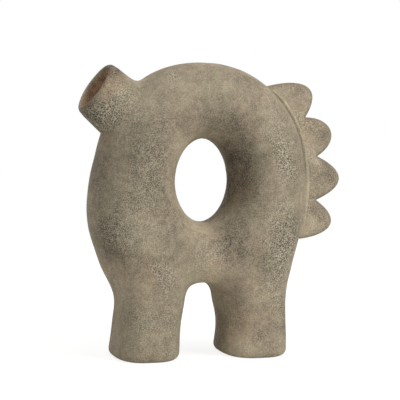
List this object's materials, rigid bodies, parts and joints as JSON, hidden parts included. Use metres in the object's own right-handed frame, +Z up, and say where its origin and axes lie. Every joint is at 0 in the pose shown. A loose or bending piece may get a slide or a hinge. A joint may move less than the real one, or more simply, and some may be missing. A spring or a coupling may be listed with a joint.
{
  "type": "ring vase",
  "caption": "Hand-built unglazed ceramic ring vessel on stub legs, with a slanted open neck on one shoulder and a scalloped comb on the other.",
  "frame": {"origin": "on the floor, under the middle of the whole vessel's width and depth", "axes": "+Z up, +X towards the comb, -X towards the neck, -Y towards the front"},
  "size_m": [0.2694, 0.099, 0.292],
  "materials": {
    "body_clay": "matte unglazed stoneware, mottled taupe with grey patches and fine pale crackle",
    "slip": "matte fired slip, pale taupe",
    "neck_clay": "matte unglazed stoneware, taupe outside and terracotta inside the mouth",
    "comb_clay": "matte unglazed stoneware, warm sand with darker edges"
  },
  "bodies": {
    "root": {"body_front_shell": "body_clay", "body_back_shell": "body_clay", "seam_slip_hole": "slip", "seam_slip_arch": "slip", "seam_slip_left": "slip", "seam_slip_right": "slip", "left_sole": "body_clay", "left_sole_slip": "slip", "right_sole": "body_clay", "right_sole_slip": "slip", "neck": "neck_clay", "neck_coil": "neck_clay", "comb_lobe_1": "comb_clay", "comb_lobe_2": "comb_clay", "comb_lobe_3": "comb_clay", "comb_lobe_4": "comb_clay", "comb_coil_front": "comb_clay", "comb_coil_back": "comb_clay"}
  },
  "joints": []
}
